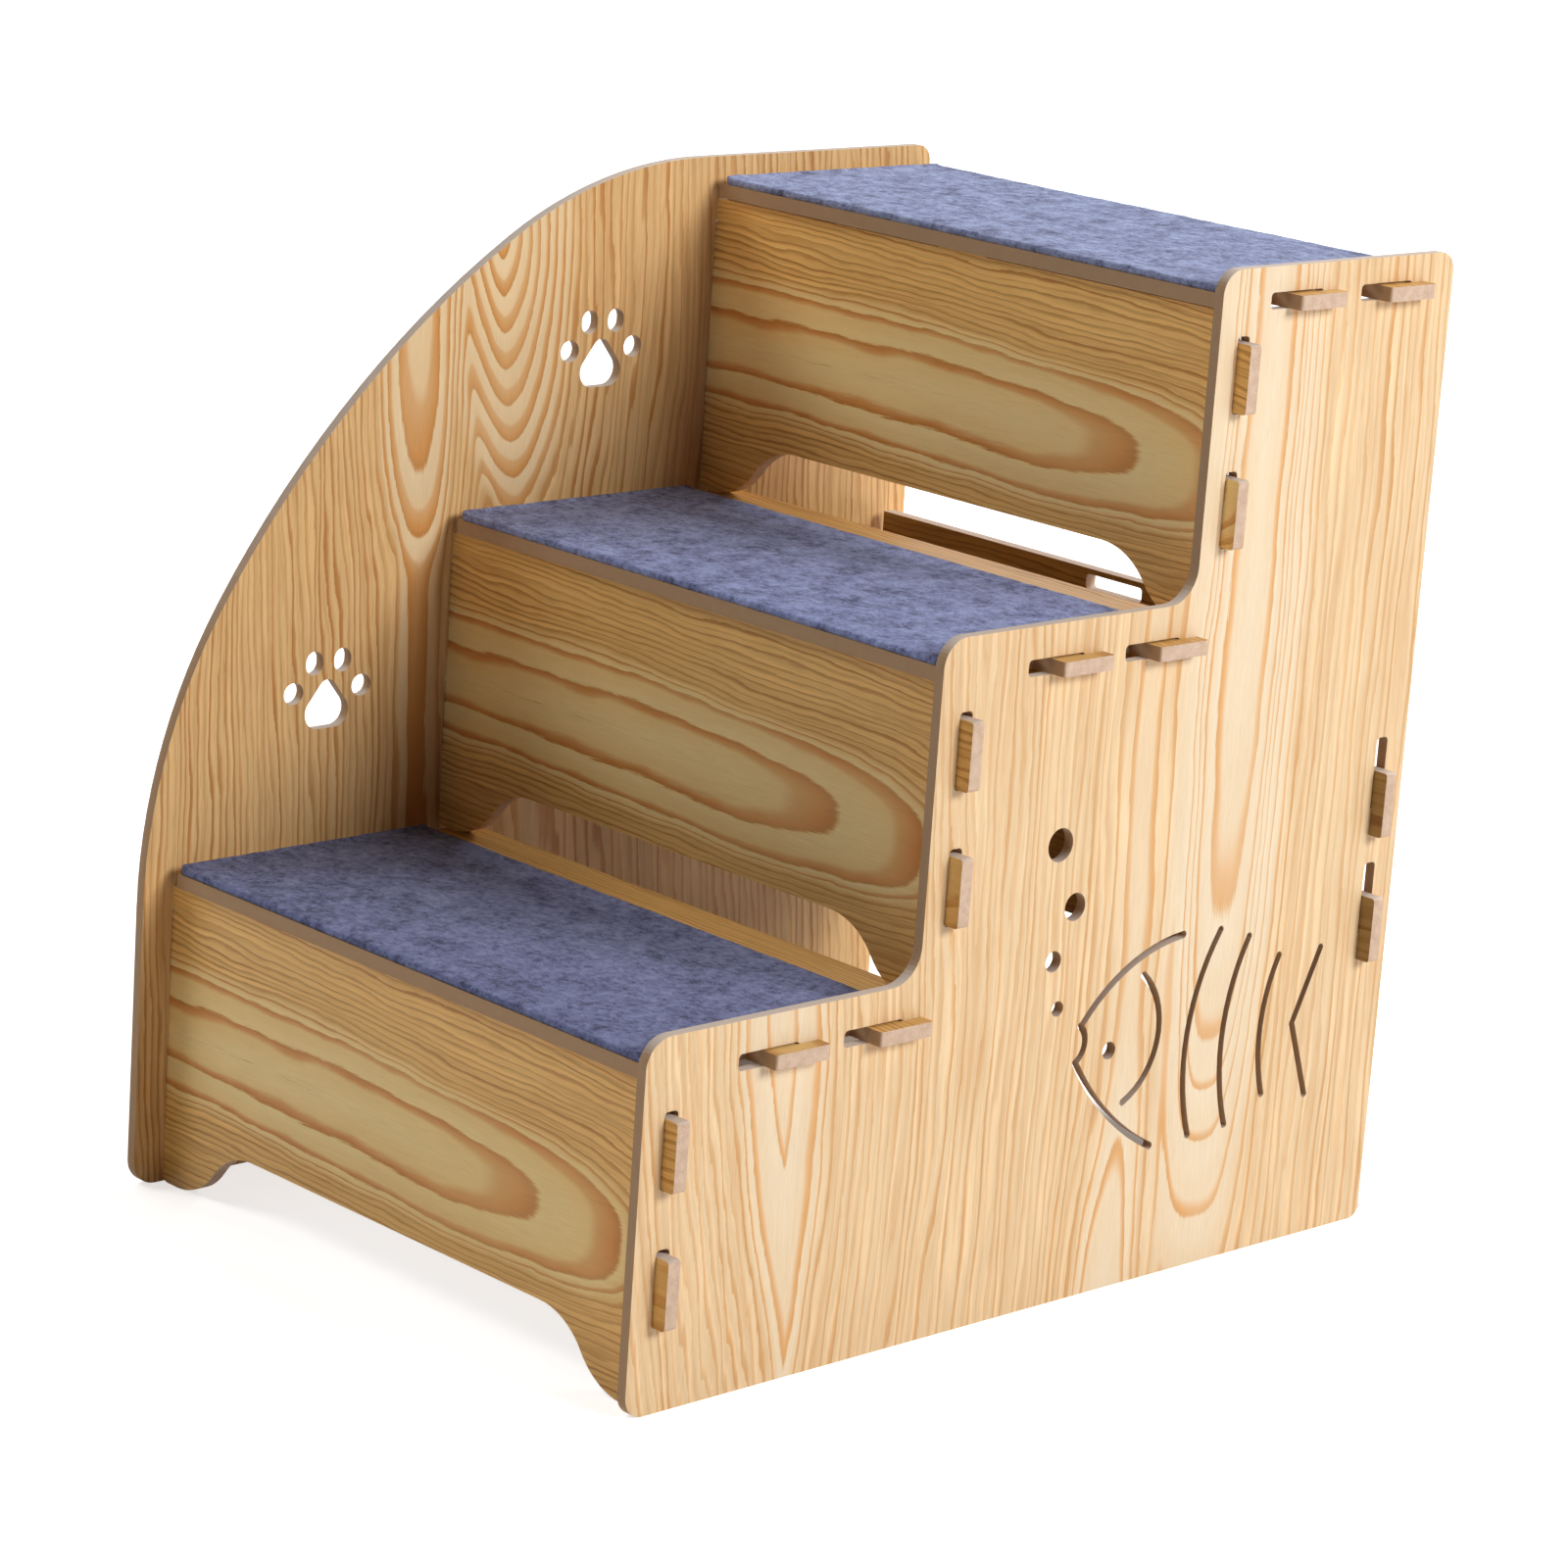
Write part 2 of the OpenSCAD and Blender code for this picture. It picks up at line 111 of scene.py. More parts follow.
class Graph:
    """A material and the nodes in it."""

    def __init__(self, name):
        self.material = bpy.data.materials.new(name)
        self.material.use_nodes = True
        self.tree = self.material.node_tree
        self.tree.nodes.clear()

    def node(self, kind, inputs, **settings):
        made = self.tree.nodes.new("ShaderNode" + kind)
        for key, value in settings.items():
            setattr(made, key, value)
        for key, value in inputs.items():
            self.feed(made.inputs[key], value)
        return made

    def feed(self, socket, value):
        """Links a wire to the socket, or sets a constant on it."""
        if isinstance(value, Wire):
            self.tree.links.new(value.socket, socket)
        else:
            socket.default_value = value

    def math(self, operation, *values):
        return Wire(self, self.node("Math", dict(enumerate(values)), operation=operation).outputs[0])

    def highest(self, a, b):
        return self.math("MAXIMUM", a, b)

    def lowest(self, a, b):
        return self.math("MINIMUM", a, b)

    def blend_lowest(self, a, b, reach):
        return self.math("SMOOTH_MIN", a, b, reach)

    def slope(self, a, low, high):
        """0 below low, 1 above high and even between them."""
        inputs = {"Value": a, "From Min": low, "From Max": high}
        return Wire(self, self.node("MapRange", inputs).outputs[0])

    def rise(self, a, low, high):
        """0 below low, 1 above high and smooth between them."""
        inputs = {"Value": a, "From Min": low, "From Max": high}
        return Wire(self, self.node("MapRange", inputs, interpolation_type="SMOOTHSTEP").outputs[0])

    def place(self, x, y, z):
        return Wire(self, self.node("CombineXYZ", {"X": x, "Y": y, "Z": z}).outputs[0])

    def parts(self, vector):
        made = self.node("SeparateXYZ", {0: vector})
        return [Wire(self, output) for output in made.outputs]

    def noise(self, vector, detail=2.0, roughness=0.5):
        """Cloudy noise about 0, mostly from -0.25 to 0.25, one cloud a unit."""
        inputs = {"Vector": vector, "Scale": 1.0, "Detail": detail, "Roughness": roughness}
        return Wire(self, self.node("TexNoise", inputs).outputs[0]) - 0.5

    def even_noise(self, point, per_mm, detail=2.0, roughness=0.5):
        """The same with per_mm clouds a millimetre each way."""
        return self.noise(self.place(*(axis * per_mm for axis in point)), detail, roughness)

    def chance(self, value):
        """The same even chance from 0 to 1 for each value."""
        made = self.node("TexWhiteNoise", {"W": value}, noise_dimensions="1D")
        return Wire(self, made.outputs[0])

    def mix(self, share, a, b):
        """Colour a, or b as share goes to 1."""
        made = self.node("Mix", {}, data_type="RGBA")
        # the sockets of a colour mix: its share, then its two colours
        for socket, value in zip((made.inputs[0], made.inputs[6], made.inputs[7]), (share, a, b)):
            self.feed(socket, (*value, 1.0) if isinstance(value, tuple) else value)
        return Wire(self, made.outputs[2])

    def darken(self, colour, share):
        """The colour times a share of its light."""
        made = self.node("VectorMath", {0: colour, "Scale": share}, operation="SCALE")
        return Wire(self, made.outputs[0])

    def object_point(self):
        """The point's place in millimetres."""
        point = Wire(self, self.node("TexCoord", {}).outputs["Object"])
        made = self.node("VectorMath", {0: point, "Scale": 1 / MM}, operation="SCALE")
        return self.parts(Wire(self, made.outputs[0]))

    def flat_normal(self):
        return self.parts(Wire(self, self.node("NewGeometry", {}).outputs["True Normal"]))

    def finish(self, colour, roughness, height, depth, **shader):
        """Makes the surface; depth is how far, in metres, the bumps in height stand out."""
        bump = self.node("Bump", {"Height": height, "Distance": depth, "Strength": 1.0})
        inputs = {"Base Color": colour, "Roughness": roughness, "Normal": Wire(self, bump.outputs[0])}
        surface = self.node("BsdfPrincipled", {**inputs, **shader})
        self.node("OutputMaterial", {"Surface": Wire(self, surface.outputs[0])})
        return self.material


# Figures in the wood print

# A figure is a set of long rings about a heart line that runs along the grain, at middle across it.
# Past start, in direction, the rings close one after another in rounded tips, the inner ones first.
# steep and power say how soon, lean how far it slants, width and blunt how wide and blunt it is, and
# rings are the radii of its inner rings.
Figure = namedtuple("Figure", "middle start direction steep power lean width blunt rings")

# How a board's print looks: its figures and tones, the step between the far lines, how much the lines
# wander, and where in a ring its band starts at the long sides and at the tips
Look = namedtuple("Look", "figures tones step sway side_start tip_start")

STEP_LOOK = Look(
    figures=[
        Figure(middle=71.0, start=-42.5, direction=1, steep=0.00185, power=1.84,
               lean=-0.02, width=1.0, blunt=3.0, rings=(16.0, 28.7)),
    ],
    tones=STEP_TONES, step=3.0, sway=1.0, side_start=0.74, tip_start=0.60)

PANEL_LOOK = Look(
    figures=[
        # the nested arches by the fish
        Figure(middle=GUARD_FRONT + 338.0, start=440.0, direction=-1, steep=0.000375, power=1.84,
               lean=0.0, width=1.25, blunt=3.2, rings=(12.0, 16.7, 18.8, 21.2, 25.0)),
        # the pointed tongue under the first step
        Figure(middle=GUARD_FRONT + 80.0, start=148.0, direction=-1, steep=0.155, power=1.0,
               lean=-0.08, width=1.0, blunt=1.25, rings=(8.8, 22.5)),
        # the low arch under the fish
        Figure(middle=GUARD_FRONT + 284.0, start=-90.0, direction=1, steep=0.10, power=1.0,
               lean=0.0, width=1.0, blunt=2.0, rings=(9.0, 16.0)),
    ],
    tones=PANEL_TONES, step=4.4, sway=0.6, side_start=0.72, tip_start=0.78)

GUARD_LOOK = Look(
    figures=[
        # the stack of close rings high on the guard
        Figure(middle=GUARD_FRONT + 188.0, start=425.0, direction=-1, steep=0.23, power=1.0,
               lean=-0.12, width=1.4, blunt=1.6, rings=(3.9, 7.8, 11.7, 15.6, 19.5, 23.4, 27.3)),
        # the broad tongue in front of it
        Figure(middle=GUARD_FRONT + 140.0, start=430.0, direction=-1, steep=0.00227, power=1.8,
               lean=-0.04, width=1.05, blunt=2.2, rings=(12.0, 18.0)),
    ],
    tones=GUARD_TONES, step=3.3, sway=0.7, side_start=0.60, tip_start=0.52)

LAST_TIP_SHARE = 1.15   # a figure's tips end at this share of its last ring
TIP_BLEND = 5.0         # millimetres over which they end
RING_BLEND = 2.2        # rings over which two figures' rings join
BEYOND_BLEND = 6.0      # millimetres over which their outsides join


def count_rings(g, u, v, figures, step):
    """How many rings a point lies from the nearest heart, how far outside that figure's own rings, and
    how near their tips, from 0 at their long sides to 1.

    step is the distance between the rings out there."""
    count = beyond = tip = None
    for figure in figures:
        rings = figure.rings
        past = v - figure.start
        deep = g.highest(past * figure.direction, 0.0) ** figure.power * figure.steep
        # past its last tip a figure's lines run straight on
        deep = g.blend_lowest(deep, rings[-1] * LAST_TIP_SHARE, TIP_BLEND)
        off = abs(u - past * figure.lean - figure.middle) * (1 / figure.width)
        radius = (off ** figure.blunt + deep ** figure.blunt) ** (1 / figure.blunt)
        own = g.slope(radius, 0.0, rings[0])
        for inner, outer in zip(rings, rings[1:]):
            own = own + g.slope(radius, inner, outer)
        outside = g.highest(radius - rings[-1], 0.0)
        own = own + outside * (1 / step)
        near_tip = g.lowest(deep / g.highest(radius, 1.0), 1.0)
        if count is None:
            count, beyond, tip = own, outside, near_tip
            continue
        tip = tip + (near_tip - tip) * g.math("LESS_THAN", own, count)
        count = g.blend_lowest(count, own, RING_BLEND)
        beyond = g.blend_lowest(beyond, outside, BEYOND_BLEND)
    return count, beyond, tip


# Wood print

# Its noises: clouds a millimetre across the grain and along it, and a number that sets each one apart.
# The fine lines' first number is clouds a ring.
Cloud = namedtuple("Cloud", "across along apart")
BROAD = Cloud(0.014, 0.0045, 0.0)
WAVY = Cloud(0.05, 0.016, 3.0)
RIPPLE = Cloud(0.12, 0.05, 31.0)
FIBRE = Cloud(1.7, 0.075, 7.0)
STREAKS = Cloud(0.12, 0.005, 5.0)
PATCHES = Cloud(0.03, 0.007, 11.0)
SOFTNESS = Cloud(0.02, 0.01, 13.0)
FINE_LINES = Cloud(1.9, 0.012, 29.0)
PORES = Cloud(1.3, 0.05, 17.0)
TINT = Cloud(0.06, 0.01, 23.0)

BROAD_SWAY, WAVY_SWAY, RIPPLE_SWAY = 18.0, 6.0, 2.0  # millimetres that the lines stray
FAR_AFTER = 8.0          # millimetres beyond a figure's rings at which the plain grain is reached
FIBRE_JAG = 0.26         # rings that the fibre moves a line
FIBRE_JAG_FAR = 0.10     # and more of it in the plain grain
TIP_CALM = 0.6           # and less of it at the tips
STREAK_SHIFT = 1.8       # rings that the streaks move the plain grain's lines
FAR_START = 0.60         # where in a ring its band starts in the plain grain
BAND_END = 0.95          # where in a ring its band ends
BAND_SOFT = 0.12         # how much earlier in a ring its band starts in places
EDGE_DARK = 0.45         # how dark the band's outer edge is
PORE_DARK = 0.42         # how dark the pores are
FIBRE_DARK = 0.28        # how much the fibre darkens and lightens all of it


def wood_print(g, u, v, look, seed):
    """Colour, and darkness of the grain, of a print whose grain runs along v."""
    def cloud(kind, across=u, **detail):
        point = g.place(across * kind.across, v * kind.along, seed + kind.apart)
        return g.noise(point, **detail)

    broad = cloud(BROAD)
    fibre = cloud(FIBRE, detail=3.0, roughness=0.7)
    wander = (cloud(WAVY) * WAVY_SWAY + cloud(RIPPLE) * RIPPLE_SWAY) * look.sway
    count, beyond, tip = count_rings(g, u + broad * BROAD_SWAY + wander, v, look.figures, look.step)
    far = g.rise(beyond, 0.0, FAR_AFTER)
    jag = fibre * (FIBRE_JAG + FIBRE_JAG_FAR * far) * (1.0 - TIP_CALM * tip)
    count = count + jag + far * cloud(STREAKS) * STREAK_SHIFT
    ring = g.math("FLOOR", count)
    through = g.math("FRACT", count)

    # each ring darkens slowly outwards and ends in a sharp dark line; some lines are fainter
    patch = g.rise(cloud(PATCHES), -0.20, 0.12)
    strength = 1.0 - far * (0.70 - 0.70 * g.chance(ring + seed))
    near_start = look.side_start + tip * (look.tip_start - look.side_start)
    near_start = near_start - BAND_SOFT * g.rise(cloud(SOFTNESS), 0.0, 0.25)
    start = near_start * (1.0 - far) + FAR_START * far
    band = g.rise(through, start - 0.06, start + 0.09) * (0.60 + 0.40 * g.rise(through, start, 0.92))
    band = band * (1.0 - g.rise(through, BAND_END, 1.0))
    lines = band * strength * (0.72 + 0.28 * patch)

    # finer lines follow the rings, and short dark pores lie along the grain
    fine = cloud(FINE_LINES, count, detail=1.0)
    pores = g.rise(cloud(PORES, detail=1.0), 0.06, 0.22) * (0.12 + 0.34 * far + 0.3 * band)
    tint = g.rise(broad + cloud(TINT) * 0.8, -0.3, 0.3)
    pale, middle, warm, dark = look.tones
    ageing = far * 0.8 + tint * 0.30 + 0.25 * g.rise(through, 0.1, 0.6)
    edge = g.rise(through, 0.84, BAND_END) * EDGE_DARK
    colour = g.mix(g.lowest(ageing, 1.0), pale, middle)
    colour = g.mix(lines, colour, g.mix(g.highest(far, edge), warm, dark))
    colour = g.mix(pores * PORE_DARK, colour, dark)
    colour = g.mix(g.rise(0.0 - fine, 0.0, 0.28) * (0.05 + 0.32 * far), colour, dark)
    colour = g.darken(colour, 1.0 + fibre * FIBRE_DARK + g.highest(fine, 0.0) * (0.10 + 0.50 * far))
    return colour, lines * 0.5 + pores * 0.6 - fibre * 0.5


# The raw edges' fibreboard: clouds a millimetre in its speckle and its layers
SPECKLE, LAYERS = 1.6, 0.25
# How squarely a surface faces along an axis, from where it starts to count as facing that way to where
# it fully does: print on the faces, and raw edges that face the front, which get painted shade, and the
# top, which get painted light
FACE_TURN, PAINTED_SHADE_FRONT_TURN, PAINTED_LIGHT_TOP_TURN = (0.80, 0.92), (-0.5, -0.95), (0.4, 0.9)
# the next turn marks the face whose print is darkened as painted shade
PAINTED_SHADE_TURN = (0.0, -0.5)     # and the face towards the smaller end of an axis
FACE_ROUGHNESS, RAW_ROUGHNESS = 0.42, 0.77
GRAIN_ROUGHNESS = 0.10
GRAIN_DEPTH = 0.35       # how deep the grain lies in the face, as a share of the bumps
BUMP_DEPTH = 0.12 * MM
LAMINATE_SPECULAR = 0.35


def laminate(name, look, seed, axes, shift=(0.0, 0.0), inner=1.0, shade=1.0):
    """A board's material: print on its two faces, raw fibreboard on its edges.

    axes are those across the grain, along it and through the board. inner is how pale the print is
    painted on the face towards the smaller end of the last, as painted shade, and shade scales the
    whole board's colour as painted light and shade."""
    across, along, through = axes
    g = Graph(name)
    point = g.object_point()
    normal = g.flat_normal()
    colour, grain = wood_print(g, point[across] - shift[0], point[along] - shift[1], look, seed)
    # painted shade: the print is darkened on the face towards the smaller end of the through axis by
    # inner, and the whole board is made paler or darker by shade as painted light and shade
    painted_shade_side = g.rise(normal[through], *PAINTED_SHADE_TURN)
    colour = g.darken(colour, shade - painted_shade_side * (shade - shade * inner))

    speckle = g.even_noise(point, SPECKLE, 3.0, 0.7)
    layers = g.even_noise(point, LAYERS)
    raw = g.mix(g.rise(speckle + layers * 0.8, -0.22, 0.22), RAW_EDGE_DARK, RAW_EDGE)
    # raw edges that face the front are darkened as painted shade, and those that face up are lightened
    # as painted light
    raw = g.mix(g.rise(normal[ALONG_Y], *PAINTED_SHADE_FRONT_TURN) * 0.85, raw, RAW_FRONT_PAINTED_SHADE)
    raw = g.mix(g.rise(normal[ALONG_Z], *PAINTED_LIGHT_TOP_TURN) * 0.8, raw, RAW_TOP_PAINTED_LIGHT)

    on_face = g.rise(abs(normal[through]), *FACE_TURN)
    off_face = 1.0 - on_face
    colour = g.mix(on_face, raw, colour)
    height = on_face * (1.0 - grain * GRAIN_DEPTH) + off_face * speckle
    roughness = FACE_ROUGHNESS + GRAIN_ROUGHNESS * grain * on_face
    roughness = roughness + off_face * (RAW_ROUGHNESS - FACE_ROUGHNESS)
    return g.finish(colour, roughness, height, BUMP_DEPTH, **{"Specular IOR Level": LAMINATE_SPECULAR})


# Boards

PANEL_AXES = (ALONG_Y, ALONG_Z, ALONG_X)
UPRIGHT_AXES = (ALONG_Z, ALONG_X, ALONG_Y)
LYING_AXES = (ALONG_Y, ALONG_X, ALONG_Z)
# What sets the print of the panels, the risers, the treads and the back board apart
PANEL_SEED, GUARD_SEED, RISER_SEED, TREAD_SEED, BACK_SEED = 1.3, 4.1, 7.7, 9.2, 15.0
# Each riser is cut a little further along the same print, in millimetres, and its colour is scaled by
# its own painted light and shade
RISER_CUTS = [0.0, 6.0, 22.0]
RISER_PAINTED_SHADES = [0.98, 0.90, 1.06]
# the treads' whole colour is darkened as painted shade
TREAD_PAINTED_SHADE = 0.80
# the back board's face towards -Y is darkened as painted shade
BACK_INNER_PAINTED_SHADE = 0.4
EASED_EDGE = 0.45 * MM
EASED_FROM = math.radians(50)
WELD_WITHIN = 0.002 * MM


def dress(name, material):
    board = nodes[name]
    board.data.materials.clear()
    board.data.materials.append(material)


def dress_boards():
    dress("right_side_panel", laminate("panel_print", PANEL_LOOK, PANEL_SEED, PANEL_AXES))
    dress("left_side_panel", laminate("guard_print", GUARD_LOOK, GUARD_SEED, PANEL_AXES))
    rise = (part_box("riser_2")[0].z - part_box("riser_1")[0].z) / MM
    for k, (name, cut, shade) in enumerate(zip(RISERS, RISER_CUTS, RISER_PAINTED_SHADES)):
        dress(name, laminate("riser_print_%d" % (k + 1), STEP_LOOK, RISER_SEED, UPRIGHT_AXES,
                             (rise * k, cut), shade=shade))
    for k, name in enumerate(TREADS):
        dress(name, laminate("tread_print_%d" % (k + 1), STEP_LOOK, TREAD_SEED + k, LYING_AXES,
                             (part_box(name)[0].y / MM, 0.0), shade=TREAD_PAINTED_SHADE))
    dress("back_board", laminate("back_print", STEP_LOOK, BACK_SEED, UPRIGHT_AXES,
                                 (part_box("back_board")[0].z / MM, 0.0), BACK_INNER_PAINTED_SHADE))


def ease_edges():
    """The boards' sharp edges are eased a little, as a laminated board's are."""
    for name in [*PANELS, "back_board", *RISERS, *TREADS]:
        weld = nodes[name].modifiers.new("join", "WELD")
        weld.merge_threshold = WELD_WITHIN
        bevel = nodes[name].modifiers.new("ease", "BEVEL")
        bevel.width = EASED_EDGE
        bevel.segments = 2
        bevel.limit_method = "ANGLE"
        bevel.angle_limit = EASED_FROM


# Felt

# Painted light and shade on each mat: how much of each tone's red, green and blue it keeps, darker on
# the lower mats and paler on the top one
FELT_PAINTED_LIGHT_AND_SHADE = [(0.68, 0.67, 0.70), (1.02, 1.02, 1.02), (1.09, 1.07, 0.96)]
FELT_ROLL = 0.9 * MM       # radius of the rolled top edges
FELT_CORNER = 3.0 * MM     # radius of the mat's corners
LEAST_CORNER = 0.2 * MM
FELT_PITCH = 2.0 * MM      # between the points of its top
FELT_RISE = 0.15 * MM      # how far the lumps lift the whole top
FELT_TURN_UP = 0.9 * MM    # how far the end at the guard is turned up
# Lumps of two kinds in the top, and the unevenness of the edges: clouds a millimetre, millimetres high
SMALL_LUMPS, BROAD_LUMPS, EDGE_LUMPS = (0.35, 0.16), (0.09, 0.22), (0.5, 0.25)
EDGE_SHIFT = Vector((40, 0, 0))  # sets the edges' noise apart from the top's
# The mottling: clouds a millimetre in what warps it, in its broad patches, its clumps and its hairs.
# The last two are stretched a little along X.
FELT_WARP, FELT_PATCHES = 0.2, 0.07
FELT_CLUMPS, FELT_HAIRS = (0.26, 0.30, 0.30), (0.75, 0.85, 0.85)
WARP_REACH = 3.0         # clouds that the warp moves the hairs
CLUMP_WARP = 0.25        # and its share in moving the clumps
FELT_ROUGHNESS = 0.95
FELT_BUMP_DEPTH = 0.8 * MM
FELT_GLOSS = {"Specular IOR Level": 0.1, "Sheen Weight": 0.08, "Sheen Roughness": 0.6}


def felt_material(name, painted_light_and_shade):
    """Mottled felt, its tones scaled by the mat's painted light and shade."""
    middle, dark, pale = (tuple(a * b for a, b in zip(tone, painted_light_and_shade))
                          for tone in (FELT_MIDDLE, FELT_DARK, FELT_PALE))
    g = Graph(name)
    point = g.object_point()
    warp = g.even_noise(point, FELT_WARP) * WARP_REACH
    push = warp * CLUMP_WARP
    x, y, z = (axis * per_mm for axis, per_mm in zip(point, FELT_CLUMPS))
    clumps = g.noise(g.place(x + push, y - push, z), 2.0, 0.6)
    x, y, z = (axis * per_mm for axis, per_mm in zip(point, FELT_HAIRS))
    hairs = g.noise(g.place(x + warp, y + warp, z), 3.0, 0.7)
    shade = clumps * 1.2 + hairs + g.even_noise(point, FELT_PATCHES) * 0.9
    colour = g.mix(g.rise(shade, -0.10, 0.45), middle, pale)
    colour = g.mix(g.rise(0.0 - shade, -0.04, 0.42), colour, dark)
    return g.finish(colour, FELT_ROUGHNESS, clumps * 0.5 + hairs, FELT_BUMP_DEPTH, **FELT_GLOSS)


def mat_outline(low, high, across, deep, shrink, z):
    """The mat's rounded outline, drawn in by shrink, as points at one height above its foot."""
    shares = [(i / across, 0) for i in range(across)]
    shares += [(1, i / deep) for i in range(deep)]
    shares += [(1 - i / across, 1) for i in range(across)]
    shares += [(0, 1 - i / deep) for i in range(deep)]
    left, right, near, far = low.x + shrink, high.x - shrink, low.y + shrink, high.y - shrink
    r = max(FELT_CORNER - shrink, LEAST_CORNER)
    points = []
    for a, b in shares:
        p = Vector((left + a * (right - left), near + b * (far - near), low.z + z))
        for cx, side_x in ((left + r, -1), (right - r, 1)):
            for cy, side_y in ((near + r, -1), (far - r, 1)):
                dx, dy = (p.x - cx) * side_x, (p.y - cy) * side_y
                if dx > 0 and dy > 0:
                    k = r / math.hypot(dx, dy)
                    p.x, p.y = cx + dx * k * side_x, cy + dy * k * side_y
        points.append(p)
    return points


def plain_mat(low, high):
    """A closed mat with rolled top edges, whose top is a grid that meets the last ring."""
    size = high - low
    across = max(2, round(size.x / FELT_PITCH))
    deep = max(2, round(size.y / FELT_PITCH))
    roll = FELT_ROLL
    bm = bmesh.new()
    steps = [(0.0, 0.0), (0.0, size.z - roll), (roll * 0.3, size.z - roll * 0.3), (roll, size.z)]
    rings = [[bm.verts.new(p) for p in mat_outline(low, high, across, deep, shrink, z)]
             for shrink, z in steps]
    count = len(rings[0])
    for lower, upper in zip(rings, rings[1:]):
        for i in range(count):
            j = (i + 1) % count
            bm.faces.new((lower[i], lower[j], upper[j], upper[i]))
    top = rings[-1]
    grid = {}
    for i in range(across + 1):
        for j in range(deep + 1):
            if j == 0:
                grid[i, j] = top[i % count]
            elif i == across:
                grid[i, j] = top[across + j]
            elif j == deep:
                grid[i, j] = top[2 * across + deep - i]
            elif i == 0:
                grid[i, j] = top[(count - j) % count]
            else:
                x = low.x + roll + i / across * (size.x - 2 * roll)
                y = low.y + roll + j / deep * (size.y - 2 * roll)
                grid[i, j] = bm.verts.new((x, y, high.z))
    for i in range(across):
        for j in range(deep):
            bm.faces.new((grid[i, j], grid[i + 1, j], grid[i + 1, j + 1], grid[i, j + 1]))
    bm.faces.new(list(reversed(rings[0])))
    return bm


def lump(p, kind):
    per_mm, high = kind
    return noise.noise(p * per_mm) * high * MM


def felt_mat(name, material):
    """A mat with a soft, slightly uneven top and rolled top edges, in the space of its plain solid."""
    low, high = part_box(name)
    size, middle = high - low, (low + high) / 2
    bm = plain_mat(low, high)
    rim = 1.5 * FELT_ROLL
    for v in bm.verts:
        if v.co.z > low.z + FELT_ROLL:
            p = v.co / MM
            v.co.z += lump(p, SMALL_LUMPS) + lump(p, BROAD_LUMPS) + FELT_RISE
            push = noise.noise(p * EDGE_LUMPS[0] + EDGE_SHIFT) * EDGE_LUMPS[1] * MM
            side = v.co - middle
            if abs(side.y) > size.y / 2 - rim:
                v.co.y += push
            if abs(side.x) > size.x / 2 - rim:
                v.co.x += push
            # the end at the guard lies up against it and covers the slots' upper edges
            if side.x < rim - size.x / 2:
                v.co.z += FELT_TURN_UP
    bmesh.ops.recalc_face_normals(bm, faces=bm.faces)
    mat = add_mesh("felt_" + name, bm, material)
    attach(mat, "root")
    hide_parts(name)
    return mat, (size.x, size.y)


def add_mesh(name, bm, material):
    mesh = bpy.data.meshes.new(name)
    bm.to_mesh(mesh)
    bm.free()
    mesh.shade_smooth()
    mesh.materials.append(material)
    made = bpy.data.objects.new(name, mesh)
    bpy.context.scene.collection.objects.link(made)
    return made


def lay_mats():
    for name, tread, painted_light_and_shade in zip(MATS, TREADS, FELT_PAINTED_LIGHT_AND_SHADE):
        mat, flat = felt_mat(name, felt_material("felt_of_" + name, painted_light_and_shade))


# Camera, floor and light

CAMERA_AT = (1.5478, -1.48405, 0.7628)
CAMERA_AZIMUTH, CAMERA_ELEVATION, CAMERA_ROLL = (math.radians(a) for a in (46.158, 14.788, 4.003))
LENS_MM = 114.29
SENSOR_MM = 36.0

# The floor runs level from FLOOR_FRONT to FLOOR_REACH beyond the stairs' middle, as the camera looks,
# curves up with the radius FLOOR_CURVE in so many steps, and ends at the height FLOOR_WALL
FLOOR_FRONT, FLOOR_REACH, FLOOR_CURVE = -6.0, 3.0, 1.2
FLOOR_WALL, FLOOR_WIDTH, FLOOR_STEPS = 3.0, 14.0, 12
FLOOR_CLOUDS = 0.01      # clouds a millimetre
FLOOR_GLOW = 0.66
# Half the width, the middle and half the length of its part under the stairs, which has no glow and is
# darkened as painted shade, in millimetres
UNDER_HALF_X, UNDER_Y, UNDER_HALF_Y = 156.0, 65.0, 160.0
UNDER_SOFT_X, UNDER_SOFT_Y = 10.0, 30.0

# Where the lamps aim, and how far from it they hang
LAMPS_AIM = Vector((0.0, 0.0, 0.2))
LAMPS_AWAY = 4.0
# name, azimuth from +X towards +Y and elevation in degrees, size in metres, watts, colour
LAMPS = [
    ("key", 15, 30, 1.6, 117.0, WHITE),
    ("front", -140, 45, 1.8, 52.0, (1.0, 0.99, 0.96)),
    ("back", 92, 35, 1.6, 88.0, (0.97, 0.98, 0.98)),
    ("left", 180, 45, 1.6, 26.0, WHITE),
    ("side", 40, 22, 1.6, 18.0, WHITE),
    ("low", -90, 15, 1.6, 5.0, WHITE),
]
WORLD_LIGHT = 0.02


def make_camera():
    data = bpy.data.cameras.new("camera")
    data.lens, data.sensor_width = LENS_MM, SENSOR_MM
    camera = bpy.data.objects.new("camera", data)
    bpy.context.scene.collection.objects.link(camera)
    a, e, roll = CAMERA_AZIMUTH, CAMERA_ELEVATION, CAMERA_ROLL
    right = Vector((math.cos(a), math.sin(a), 0))
    back = Vector((math.sin(a) * math.cos(e), -math.cos(a) * math.cos(e), math.sin(e)))
    up = back.cross(right)
    turned_right = right * math.cos(roll) + up * math.sin(roll)
    turned_up = up * math.cos(roll) - right * math.sin(roll)
    turn = Matrix((turned_right, turned_up, back)).transposed()
    camera.matrix_world = Matrix.Translation(CAMERA_AT) @ turn.to_4x4()
    bpy.context.scene.camera = camera


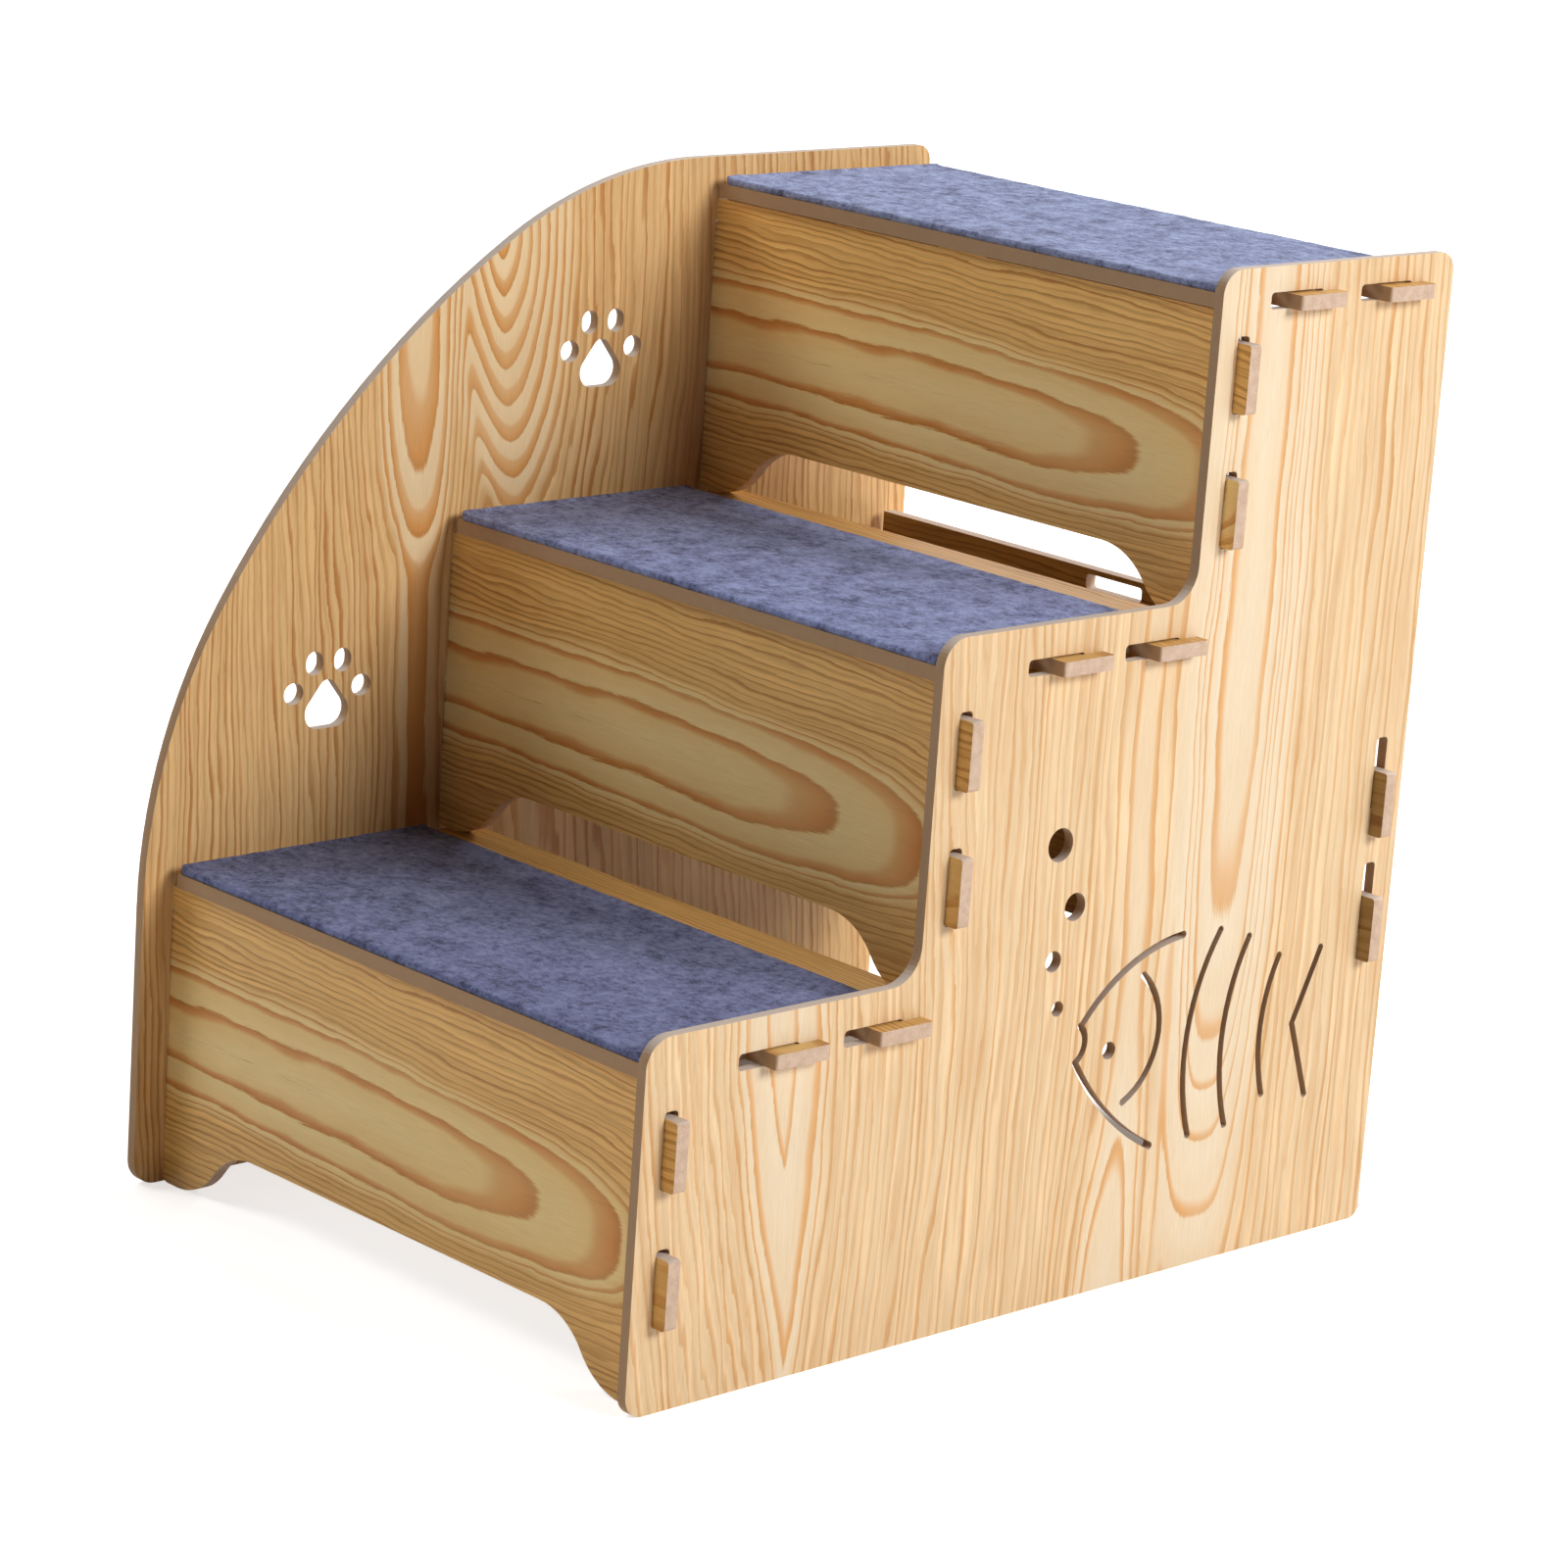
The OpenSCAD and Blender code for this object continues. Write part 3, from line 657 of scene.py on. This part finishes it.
def area_light(name, azimuth, elevation, size, watts, colour):
    """A round lamp that faces the stairs' middle."""
    data = bpy.data.lights.new(name, "AREA")
    data.shape, data.size, data.energy, data.color = "DISK", size, watts, colour
    lamp = bpy.data.objects.new(name, data)
    a, e = math.radians(azimuth), math.radians(elevation)
    away = Vector((math.cos(e) * math.cos(a), math.cos(e) * math.sin(a), math.sin(e)))
    lamp.location = LAMPS_AIM + away * LAMPS_AWAY
    lamp.rotation_euler = away.to_track_quat("Z", "Y").to_euler()
    bpy.context.scene.collection.objects.link(lamp)


def white_to_camera(g, plain, strength):
    """A plain surface that adds white light of its own where the camera or a gloss shows it."""
    path = g.node("LightPath", {})
    seen = Wire(g, path.outputs["Is Camera Ray"])
    for kind in ("Is Glossy Ray", "Is Transmission Ray"):
        seen = g.highest(seen, Wire(g, path.outputs[kind]))
    glow = g.node("Emission", {"Color": (*WHITE, 1.0), "Strength": strength})
    both = g.node("AddShader", {0: plain, 1: Wire(g, glow.outputs[0])})
    return Wire(g, g.node("MixShader", {0: seen, 1: plain, 2: Wire(g, both.outputs[0])}).outputs[0])


def floor_material():
    g = Graph("floor")
    point = g.object_point()
    # deep under the stairs the floor has no glow, so it keeps the lamps' own shade, and its colour is
    # darkened there as painted shade too
    under = g.rise(abs(point[ALONG_X]), UNDER_HALF_X + UNDER_SOFT_X, UNDER_HALF_X)
    under = under * g.rise(abs(point[ALONG_Y] - UNDER_Y), UNDER_HALF_Y + UNDER_SOFT_Y, UNDER_HALF_Y)
    pale = g.mix(g.rise(g.even_noise(point, FLOOR_CLOUDS), -0.5, 0.5), *FLOOR_TONES)
    plain = g.node("BsdfDiffuse", {"Color": g.mix(under, pale, FLOOR_PAINTED_SHADE)})
    surface = white_to_camera(g, Wire(g, plain.outputs[0]), (1.0 - under) * FLOOR_GLOW)
    g.node("OutputMaterial", {"Surface": surface})
    return g.material


def make_floor():
    """A pale floor that curves up far behind the stairs."""
    away = Vector((-math.sin(CAMERA_AZIMUTH), math.cos(CAMERA_AZIMUTH), 0))
    aside = Vector((math.cos(CAMERA_AZIMUTH), math.sin(CAMERA_AZIMUTH), 0)) * FLOOR_WIDTH / 2
    profile = [(FLOOR_FRONT, 0.0)]
    for i in range(FLOOR_STEPS + 1):
        t = math.pi / 2 * i / FLOOR_STEPS
        profile.append((FLOOR_REACH + FLOOR_CURVE * math.sin(t), FLOOR_CURVE * (1 - math.cos(t))))
    profile.append((FLOOR_REACH + FLOOR_CURVE, FLOOR_WALL))
    bm = bmesh.new()
    rows = [[bm.verts.new(away * d + aside * side + Vector((0, 0, h))) for side in (-1, 1)]
            for d, h in profile]
    for near, far in zip(rows, rows[1:]):
        bm.faces.new((near[0], near[1], far[1], far[0]))
    add_mesh("floor", bm, floor_material())


def light_world():
    """A faint even light all round, which the camera sees as white."""
    world = bpy.data.worlds.new("studio")
    bpy.context.scene.world = world
    world.use_nodes = True
    tree = world.node_tree
    tree.nodes.clear()
    path = tree.nodes.new("ShaderNodeLightPath")
    mix = tree.nodes.new("ShaderNodeMixShader")
    output = tree.nodes.new("ShaderNodeOutputWorld")
    tree.links.new(path.outputs["Is Camera Ray"], mix.inputs[0])
    for socket, strength in ((mix.inputs[1], WORLD_LIGHT), (mix.inputs[2], 1.0)):
        background = tree.nodes.new("ShaderNodeBackground")
        background.inputs["Color"].default_value = (*WHITE, 1.0)
        background.inputs["Strength"].default_value = strength
        tree.links.new(background.outputs[0], socket)
    tree.links.new(mix.outputs[0], output.inputs[0])


def light_scene():
    light_world()
    for lamp in LAMPS:
        area_light(*lamp)
    bpy.context.scene.view_settings.view_transform = "Standard"


make_camera()
dress_boards()
ease_edges()
lay_mats()
make_floor()
light_scene()
